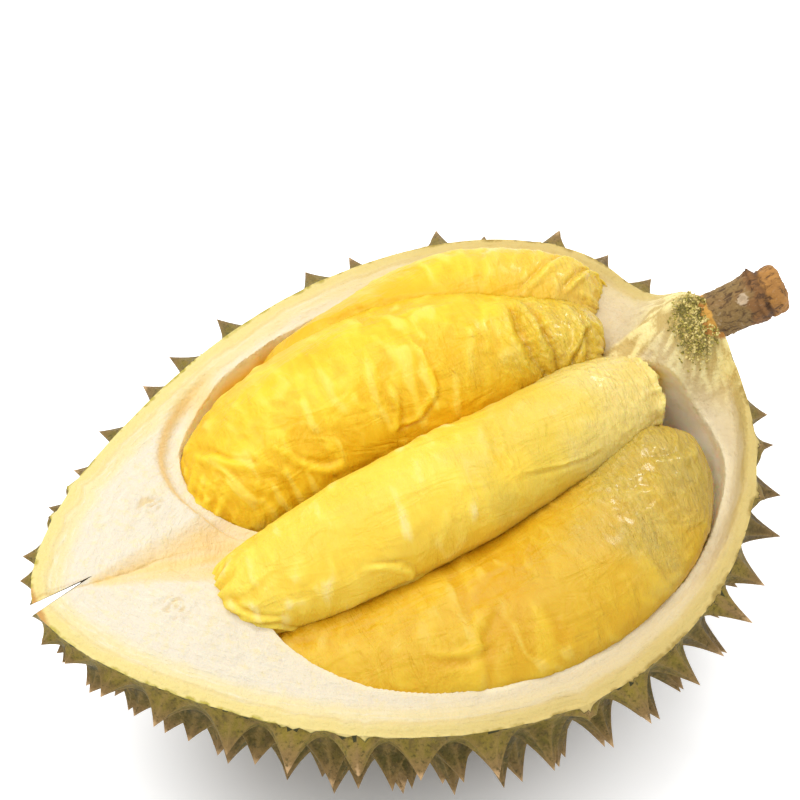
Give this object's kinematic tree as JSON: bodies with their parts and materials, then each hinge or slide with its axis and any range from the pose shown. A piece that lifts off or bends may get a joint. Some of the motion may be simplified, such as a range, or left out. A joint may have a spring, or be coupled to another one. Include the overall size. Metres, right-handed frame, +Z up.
{
  "type": "opened durian",
  "caption": "Opened durian: a boat-shaped piece of spiny husk with pale pith, cradling plump yellow flesh pods, with a short woody stem at one end.",
  "frame": {"origin": "on the surface it rests on, under the middle of the whole piece", "axes": "+X along the fruit towards the stem, -X towards the blossom tip, +Z up, +Y towards the higher rim"},
  "size_m": [0.3228, 0.2469, 0.1552],
  "materials": {
    "husk": "matt green-brown spiny skin with brown spine tips, cream fibrous pith on the cut faces",
    "flesh": "soft moist golden flesh with a wrinkled satin skin",
    "stem": "rough brown bark"
  },
  "bodies": {
    "root": {"husk": "husk", "pod_back": "flesh", "pod_left": "flesh", "pod_centre": "flesh", "pod_front": "flesh", "stem": "stem"}
  },
  "joints": []
}
